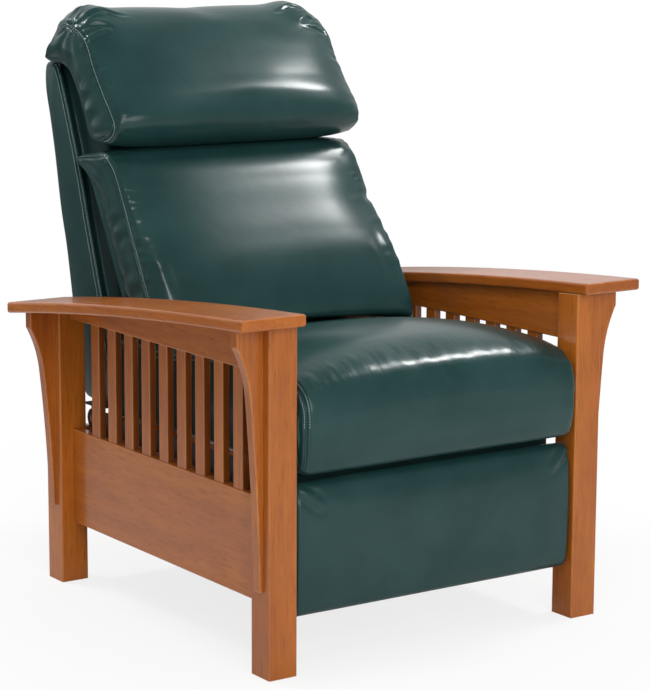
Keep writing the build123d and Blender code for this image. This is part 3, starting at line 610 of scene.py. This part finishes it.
def stitches(name, rows):
    """Stitches along lines, each laid in the hide: a short bowed thread whose ends dive in."""
    pitch, proud = 4.6, 0.2
    bpy.ops.mesh.primitive_uv_sphere_add(segments=6, ring_count=4, radius=0.5)
    model = bpy.context.object
    bpy.ops.object.mode_set(mode="EDIT")
    bpy.ops.mesh.select_all(action="SELECT")
    bpy.ops.transform.resize(value=(1.1, 0.8, 3.6))
    bpy.ops.object.mode_set(mode="OBJECT")
    shape = np.array([vertex.co for vertex in model.data.vertices])
    shape[:, 1] -= 0.09 * shape[:, 2] ** 2
    faces = [list(face.vertices) for face in model.data.polygons]
    bpy.data.objects.remove(model)
    places, all_faces = [], []
    for line, out in rows:
        travel = np.concatenate([[0], np.cumsum(np.linalg.norm(np.diff(line, axis=0), axis=1))])
        for distance in np.arange(pitch, travel[-1] - pitch, pitch):
            here = np.array([np.interp(distance, travel, line[:, axis]) for axis in range(3)])
            there = np.array([np.interp(distance + 1, travel, line[:, axis]) for axis in range(3)])
            up = np.array([np.interp(distance, travel, out[:, axis]) for axis in range(3)])
            ahead = (there - here) / np.linalg.norm(there - here)
            side = np.cross(up, ahead)
            side /= np.linalg.norm(side)
            up = np.cross(ahead, side)
            all_faces += [[corner + len(places) * len(shape) for corner in face] for face in faces]
            middle = here + up * proud
            places.append(middle + shape[:, :1] * side + shape[:, 1:2] * up + shape[:, 2:] * ahead)
    mesh = bpy.data.meshes.new(name)
    mesh.from_pydata(((np.concatenate(places) - chair_middle) / 1000).tolist(), [], all_faces)
    mesh.shade_smooth()
    mesh.materials.append(thread)
    piece = bpy.data.objects.new(name, mesh)
    bpy.context.collection.objects.link(piece)
    return piece


def seam_relief(off_seam, deep):
    """The furrow of a seam, and the shallow one of each row of topstitching beside it."""
    v = np.abs(off_seam)
    furrow, lip = -deep * np.exp(-(v / 1.0) ** 2), 0.5 * np.exp(-((v - 2.2) / 1.0) ** 2)
    stitched, welt = 0.5 * np.exp(-((v - 4.5) / 0.8) ** 2), 0.9 * np.exp(-((v - 7.5) / 3.0) ** 2)
    return furrow + lip - stitched + welt


def puckers(off_seam, travel, seed, size, reach):
    """Small uneven gathers that run out from a seam."""
    v = np.abs(off_seam)
    kinds = ((3.4, 1.0, 0.09, 0.4), (5.1, 2.3, -0.05, 0.6), (8.3, 4.1, 0.03, 0.8))
    waves = sum(np.sin(travel / length + seed * turn + v * lean) * share
                for length, turn, lean, share in kinds)
    patches = 0.45 + 0.55 * np.sin(travel / 31 + seed) * np.sin(travel / 17 + 2 * seed)
    return size * waves * patches * np.exp(-v / reach) * (1 - np.exp(-(v / 3) ** 2))


def crease(places, line, depth, width):
    """A dent along a line on the hide with a low ridge at each side, or a ridge where depth is below zero."""
    line = np.array(line, float)
    lengths = np.linalg.norm(np.diff(line, axis=0), axis=1)
    off = np.full(places.shape[:2], 1e9)
    share = np.zeros(places.shape[:2])
    for k, (start, end) in enumerate(zip(line[:-1], line[1:])):
        along = np.clip(np.sum((places - start) * (end - start), -1) / lengths[k] ** 2, 0, 1)
        away = np.linalg.norm(places - start - along[..., None] * (end - start), axis=-1)
        share = np.where(away < off, (lengths[:k].sum() + along * lengths[k]) / lengths.sum(), share)
        off = np.minimum(off, away)
    fade = np.sin(math.pi * (0.08 + 0.84 * share))
    return depth * fade * (0.55 * np.exp(-((off - 1.9 * width) / width) ** 2) - np.exp(-(off / width) ** 2))


def lerp(middle, side, share):
    return np.array(middle, float) * (1 - share) + np.array(side, float) * share


def front_of_ring(places):
    """1 on the front half of each ring, fading out at its two ends."""
    share = np.arange(places.shape[1]) / places.shape[1]
    return np.clip((0.49 - share) / 0.03, 0, 1) * np.ones(places.shape[:2])


def both_sides(lines):
    """Crease lines on the sitter's right, and the same on the left, a little weaker."""
    mirror, weaker = np.array([-1, 1, 1]), 0.8
    return lines + [(np.array(line) * mirror, depth * weaker, width) for line, depth, width in lines]


seat_middle = [(-19, 440), (-17, 485), (-5, 515), (21, 533), (72, 544), (160, 548), (270, 542), (370, 530),
               (450, 518), (560, 502), (664, 484), (684, 415),
               (668, 347), (560, 345.4), (450, 345.4), (370, 345.4), (270, 345.4), (160, 345.4), (80, 345.5),
               (25, 346), (-6, 352), (-17, 385)]


def seat_section(t):
    """The seat's outline at a share t of its half width: its crown falls off towards the sides."""
    points = np.array(seat_middle, float)
    upper_points = 11
    upper = np.arange(len(points)) < upper_points
    drop = 30 * abs(t)**3.2 * np.clip((points[:, 1] - 400) / 110, 0, 1)
    drop = np.where(points[:, 0] > 500, drop * 0.5, drop)
    points[:, 1] -= np.where(upper, drop, 0)
    points[:, 0] += 4 * abs(t)**6 * np.clip((60 - points[:, 0]) / 60, 0, 1)
    return points


def seat_held(place):
    """The cover can't swell where it lies on the webbing, or at its rear, under the lumbar cushion."""
    return 1.0 if place[2] < 352 or place[1] > 440 else 0.0


seat = Cushion("seat_cushion_cover", half_width=298, edge=20, section=seat_section,
               counts=[8, 6, 5, 8, 12, 14, 13, 11, 14, 13, 9], puff=4)
seat.swell(seat_held, most=5, pressure=2.0, spare=0.0)


def seat_relief(across, travel, places):
    """Seams with their puckers, fine pulls over the front roll, and a low ridge beside each seam."""
    off = np.abs(across) - seat.seam
    x, y, z = places[..., 0], places[..., 1], places[..., 2]
    front = np.clip((60 - y) / 40, 0, 1)
    high = np.clip((z - 352) / 25, 0, 1)
    roll = np.exp(-(((y - 26) / 26) ** 2)) * np.clip((z - 480) / 30, 0, 1)
    ripple = sum(np.sin(x / width + y / rise + turn) * share for width, rise, turn, share
                 in ((4.1, 9, 0.3, 0.30), (6.3, -14, 1.9, 0.35), (9.7, 21, 4.0, 0.40)))
    ridges = 0.9 * np.exp(-((off + 9) / 2.2) ** 2) * np.exp(-(((z - 495) / 22) ** 2)) * front
    gathers = puckers(off, travel, seed=3.0, size=2.5, reach=15)
    return seam_relief(off, 2.0) * high + gathers * front * high + roll * ripple + ridges


seat_piece = seat.sew(seat_relief)
seat_rows = seat.seam_rows([side * seat.seam + offset for side in (-1, 1) for offset in (-4.5, 4.5)],
                           first=0.0, last=0.40)
seat_thread = stitches("seat_cushion_stitches", seat_rows)
for piece in (seat_piece, seat_thread):
    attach(piece, "seat")
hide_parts("seat_cushion")


# Facing of the front seat rail: a strip of dark hide stapled over the rail. It is painted shade: it makes
# the gap between the seat cushion and the footrest show as a dark line, where the seat's underside lies in
# shadow.
low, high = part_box("seat_rail_front")
bpy.ops.object.select_all(action="DESELECT")
bpy.ops.mesh.primitive_plane_add(size=1)
facing = bpy.context.object
facing.name = "seat_rail_facing"
bpy.ops.object.mode_set(mode="EDIT")
bpy.ops.mesh.subdivide(number_cuts=40)
bpy.ops.object.mode_set(mode="OBJECT")
end_gaps, off_rail = 0.004, 0.0016
for vertex in facing.data.vertices:
    across, rise, _ = vertex.co
    pull = 0.0004 * (math.sin(across * 91) + math.sin(across * 37 + 1))
    vertex.co = (across * (high[0] - low[0] - end_gaps), low[1] - off_rail + pull * (0.5 - rise),
                 (low[2] + high[2]) / 2 + rise * (high[2] - low[2]))
for kind, settings in (("SOLIDIFY", {"thickness": 0.0012, "offset": 0}),
                       ("BEVEL", {"width": 0.0003, "segments": 2})):
    bpy.ops.object.modifier_add(type=kind)
    for setting, value in settings.items():
        setattr(facing.modifiers[-1], setting, value)
    bpy.ops.object.modifier_apply(modifier=facing.modifiers[-1].name)
facing.data.materials.append(leather)
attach(facing, "seat")


# Lumbar cushion: a deep front panel on a narrow boxing, full in the middle, which leans on the back
# shell and hangs over the rear of the seat.
lumbar_middle = [(474, 517), (463, 530), (469, 560), (486, 600), (511, 645), (544, 690), (579, 735),
                 (612, 778), (640, 812), (672, 837), (715, 845), (768, 841),
                 (788, 826), (776, 760), (760, 700), (744, 640), (728, 590), (712, 540), (690, 493),
                 (640, 489.5), (570, 502), (510, 513.5)]
lumbar_side = [(516, 497), (506, 510), (513, 546), (538, 590), (566, 633), (591, 671), (612, 704),
               (632, 742), (655, 782), (678, 812), (708, 831), (745, 832),
               (818, 816), (762, 782), (738, 740), (722, 708), (702, 670), (678, 628), (650, 580),
               (622, 530), (590, 497), (550, 489)]


def towards_side(t, middle, side, rear_power):
    """A cushion's outline at a share t of its half width, and which of its points are at the rear. The
    front stays full nearly to the seam, and the rear falls off by a power of the share."""
    front_points = 11
    rear = np.arange(len(middle)) >= front_points
    bulged = (1 - abs(t)**5) ** 0.6
    deep = 1 - abs(t)**rear_power
    return lerp(middle, side, np.where(rear, 1 - deep, 1 - bulged)[:, None]), rear


def lumbar_section(t):
    """Low down, the front stands forward at the sitter's left edge and draws back at the right one."""
    t = np.clip(t / 0.99, -1, 1)
    points, rear = towards_side(t, lumbar_middle, lumbar_side, rear_power=4)
    if t > 0:
        points[:, 0] -= 36 * t**6 * np.clip((735 - points[:, 1]) / 100, 0, 1) * ~rear
    else:
        points[:, 0] += 14 * t**6 * np.clip((700 - points[:, 1]) / 120, 0, 1) * ~rear
    return points


def shell_front(height):
    """How far back the front of the shell is at a height."""
    return 833 - (998 - height) * 0.218


def lumbar_held(place):
    """The cover can't swell where it lies on the shell or the seat, or under the pillow."""
    _, back, height = place
    return 1.0 if back > shell_front(height) - 22 or height < 512 or height > 838 else 0.0


lumbar = Cushion("lumbar_cushion_cover", half_width=283, edge=9, section=lumbar_section,
                 counts=[4, 6, 7, 8, 9, 9, 9, 7, 7, 7, 9], puff=9, aside=4)
lumbar.swell(lumbar_held, most=8, pressure=2.5, spare=0.002)
lumbar.double()
lumbar_creases = both_sides([
    ([(-262, 600, 729), (-226, 590, 733)], 1.6, 3.0),
    ([(-270, 626, 748), (-248, 618, 744)], 1.4, 3.0),
    ([(-268, 612, 716), (-240, 603, 712)], 1.2, 3.0),
    ([(-271, 640, 770), (-246, 628, 764)], 1.5, 3.5),
    ([(-258, 548, 660), (-252, 500, 592)], -2.0, 9.0),
    ([(-233, 522, 644), (-228, 486, 588)], -1.6, 9.0),
    ([(-268, 690, 826), (-240, 668, 812)], 2.4, 4.0),
    ([(-250, 700, 838), (-225, 682, 828)], 1.6, 4.0)])


def lumbar_relief(across, travel, places):
    """Seams with their puckers, creases, and a nip in the seam on the sitter's left."""
    off = np.abs(across) - lumbar.seam
    x, z = places[..., 0], places[..., 2]
    front = front_of_ring(places)
    gathers = puckers(off, travel, seed=8.0, size=1.7, reach=17)
    rear_edge = 1.3 * np.exp(-((off - 3) / 2.0) ** 2) * (1 - front) * np.clip((z - 520) / 20, 0, 1)
    shaped = (seam_relief(off, 2.0) + gathers) * front + rear_edge
    for line, depth, width in lumbar_creases:
        shaped = shaped + crease(places, line, depth, width) * (off < 0)
    nip = np.exp(-((z - 728) / 9) ** 2) * np.clip((x - 255) / 25, 0, 1)
    return shaped - 7 * nip


def lumbar_cheek(places):
    """Loose waves in the boxings, most at the foot and near the top."""
    y, z = places[..., 1], places[..., 2]
    shaped = 2.0 * np.sin(z / 9 + y / 17) * np.exp(-(((z - 560) / 55) ** 2))
    shaped = shaped + 1.8 * np.sin(z / 6.5 - y / 9) * np.exp(-(((z - 806) / 28) ** 2))
    return shaped + 1.0 * np.sin(z / 7 + y / 11 + 1) * np.exp(-(((z - 700) / 40) ** 2))


lumbar_piece = lumbar.sew(lumbar_relief, lumbar_cheek)
lumbar_rows = lumbar.seam_rows([side * (lumbar.seam - 1.6) for side in (-1, 1)], first=0.0, last=0.48)
lumbar_thread = stitches("lumbar_cushion_stitches", lumbar_rows)
for piece in (lumbar_piece, lumbar_thread):
    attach(piece, "back")
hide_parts("lumbar_cushion")


# Back shell: a padded wooden box under smooth hide. The side panel is sewn to the front one with a
# double row of stitches that runs down each side and turns in under the pillow.
shell_middle = [(702, 348.5), (703, 420), (722, 490), (746, 600), (768, 700), (790, 800), (812, 900),
                (830, 985), (838, 996), (890, 998), (940, 997), (952, 988),
                (948, 945), (933, 890), (916, 822), (893, 710), (873, 640), (854, 550), (838, 470),
                (820, 395), (800, 352), (750, 348.5)]
shell_side = [(702, 348.5), (708, 420), (726, 500), (760, 600), (794, 700), (823, 790), (868, 905),
              (896, 968), (908, 988), (922, 996), (940, 997), (950, 988)]


def shell_section(t):
    """Near each side the front bends back, with a valley along the bend."""
    points = np.array(shell_middle, float)
    front = len(shell_side)
    back = min(1, max(0, (abs(t) - 0.78) / 0.12))
    points[:front] = lerp(points[:front], shell_side, back * back * (3 - 2 * back))
    points[1:9, 0] += 12 * math.exp(-((abs(t) - 0.91) / 0.035) ** 2)
    points[front:, 0] += 4 * abs(t)**5
    return points


shell = Cushion("back_shell_cover", half_width=270, edge=8, section=shell_section,
                counts=[8, 9, 13, 12, 12, 12, 10, 5, 3, 3, 3], puff=3)
shell.double()


def shell_relief(across, travel, places):
    off = np.abs(across) - shell.seam
    gathers = puckers(off, travel, seed=2.0, size=0.7, reach=8)
    return (seam_relief(off, 1.6) + gathers) * front_of_ring(places)


shell_piece = shell.sew(shell_relief)
shell_rows = shell.seam_rows([side * (shell.seam + offset) for side in (-1, 1) for offset in (-3.2, 3.2)],
                             first=0.02, last=0.47)
shell_thread = stitches("back_shell_stitches", shell_rows)
for piece in (shell_piece, shell_thread):
    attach(piece, "back")
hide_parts("back_shell")


# Head pillow: a full roll that wraps over the top of the shell, gathered into pleats at each upper
# corner of its front panel.
pillow_middle = [(668, 849), (640, 872), (632, 905), (648, 940), (681, 975), (714, 1012), (746, 1047),
                 (780, 1077), (814, 1097), (850, 1104), (888, 1100), (922, 1068),
                 (932, 1010), (900, 999.4), (862, 999.4), (831, 993), (823, 960), (814, 920), (805, 882),
                 (788, 848), (750, 842), (705, 841)]
pillow_side = [(704, 856), (672, 868), (660, 888), (676, 914), (700, 941), (722, 970), (741, 996),
               (763, 1036), (790, 1058), (829, 1069), (873, 1064), (906, 1040),
               (933, 1006), (912, 997), (880, 997), (835, 985), (808, 955), (788, 925), (772, 895),
               (760, 870), (745, 858), (722, 854)]


def pillow_section(t):
    return towards_side(np.clip(t / 0.99, -1, 1), pillow_middle, pillow_side, rear_power=6)[0]


def pillow_held(place):
    """The cover can't swell where it lies on the shell or the lumbar cushion."""
    _, back, height = place
    return 1.0 if (back > shell_front(height) - 12 and height < 1004) or height < 858 else 0.0


pillow = Cushion("head_pillow_cover", half_width=284, edge=10, section=pillow_section,
                 counts=[5, 4, 6, 7, 7, 7, 8, 8, 6, 6, 7], puff=9, aside=3)
pillow.swell(pillow_held, most=8, pressure=2.5, spare=0.002)
pillow.double()


def pleats(places, side, size):
    """Folds of gathered hide that fan out from the knot where the seams of the upper corner meet."""
    folds, reach = 11, 40
    knot = np.array([side * 275, 829, 1068])
    off = places - knot
    up = off[..., 1] * 0.81 + off[..., 2] * 0.59
    inward = -side * off[..., 0] - (off[..., 1] * 0.59 - off[..., 2] * 0.81)
    fan = np.arctan2(up, inward)
    gone = np.linalg.norm(off, axis=-1)
    wave = 1.6 * np.abs(np.sin((folds * fan + 0.9 * np.sin(3 * fan + side) + 0.5) / 2)) - 1
    return (size * wave * np.exp(-gone / reach) * (1 - np.exp(-(gone / 10) ** 2))
            - 3.5 * np.exp(-(gone / 9) ** 2))


pillow_creases = both_sides([
    ([(-273, 829, 1073), (-240, 856, 1095), (-200, 872, 1104)], 6.0, 4.5),
    ([(-269, 806, 1072), (-243, 811, 1086), (-212, 812, 1095), (-178, 798, 1088)], 6.5, 4.5),
    ([(-270, 790, 1063), (-243, 785, 1073), (-220, 774, 1067)], 5.0, 4.0),
    ([(-273, 770, 1046), (-250, 771, 1058), (-225, 769, 1062)], -4.0, 4.0),
    ([(-270, 706, 968), (-250, 694, 955)], 1.5, 4.0),
    ([(-272, 728, 1000), (-248, 720, 996)], 1.3, 4.0),
    ([(-270, 660, 905), (-246, 650, 908)], 1.8, 4.0),
    ([(-268, 655, 884), (-244, 650, 876)], 1.6, 4.5),
    ([(-60, 648, 870), (-40, 636, 900)], 1.3, 6.0),
    ([(-150, 652, 868), (-140, 636, 905)], 1.1, 6.0)])


def pillow_relief(across, travel, places):
    """Seams with their puckers, pleats at the upper corners, a full top beside them, and creases."""
    off = np.abs(across) - pillow.seam
    y, z = places[..., 1], places[..., 2]
    front = front_of_ring(places)
    gathers = puckers(off, travel, seed=5.0, size=1.9, reach=18)
    rear_edge = 1.2 * np.exp(-((off - 3) / 2.0) ** 2) * (1 - front)
    shaped = (seam_relief(off, 2.0) + gathers) * front + rear_edge
    for side in (-1, 1):
        shaped = shaped + pleats(places, side, size=3.5) * np.clip((y - 690) / 40, 0, 1)
        shaped = shaped + 12 * (np.exp(-((places[..., 0] - side * 228) / 36) ** 2 - ((y - 840) / 62) ** 2)
                                * np.clip((z - 1040) / 30, 0, 1))
    for line, depth, width in pillow_creases:
        shaped = shaped + crease(places, line, depth, width) * (off < 0)
    return shaped


def pillow_cheek(places):
    """The pleats run on into the boxings, which have loose waves lower down."""
    side = np.sign(places[0, 0, 0])
    y, z = places[..., 1], places[..., 2]
    return (pleats(places, side, size=6.0)
            + 1.6 * np.sin(z / 8 + y / 13) * np.exp(-(((z - 925) / 45) ** 2)))


pillow_piece = pillow.sew(pillow_relief, pillow_cheek)
pillow_rows = pillow.seam_rows([side * (pillow.seam - 1.6) for side in (-1, 1)], first=0.0, last=0.46)
pillow_thread = stitches("head_pillow_stitches", pillow_rows)
for piece in (pillow_piece, pillow_thread):
    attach(piece, "back")
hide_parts("head_pillow")


# Footrest pad: hide drawn tight over foam on the footrest board, and folded in at the upper corners.
# The board lies against its rear.
footrest_middle = [(-1, 218), (0, 270), (2, 306), (7, 324), (16, 331.5), (28, 333.5), (33.5, 325),
                   (33.7, 218), (33.7, 111),
                   (28, 97), (16, 99), (7, 106), (2, 124), (0, 166)]


def footrest_section(t):
    """The front is flat, and draws back a little at the sides and the upper corners."""
    points = np.array(footrest_middle, float)
    points[:, 0] += 5 * abs(t)**8 * np.clip((30 - points[:, 0]) / 30, 0, 1)
    points[:, 1] -= 4 * abs(t)**6 * np.clip((points[:, 1] - 280) / 50, 0, 1)
    return points


def footrest_held(place):
    """The cover can't swell at the rear, where it is fixed to the board."""
    return 1.0 if place[1] > 20 else 0.0


footrest = Cushion("footrest_cover", half_width=301, edge=9, section=footrest_section,
                   counts=[8, 6, 4, 3, 3, 3, 16], puff=1)
footrest.swell(footrest_held, most=3, pressure=2.0, spare=0.0)
footrest.double()
footrest_folds = both_sides([([(-298, 10, 328), (-255, 2, 292)], -4.5, 7.0)])


def footrest_relief(across, travel, places):
    front = np.clip((24 - places[..., 1]) / 16, 0, 1)
    return sum(crease(places, line, depth, width) * front for line, depth, width in footrest_folds)


footrest_piece = footrest.sew(footrest_relief)
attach(footrest_piece, "footrest")
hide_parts("footrest_pad")
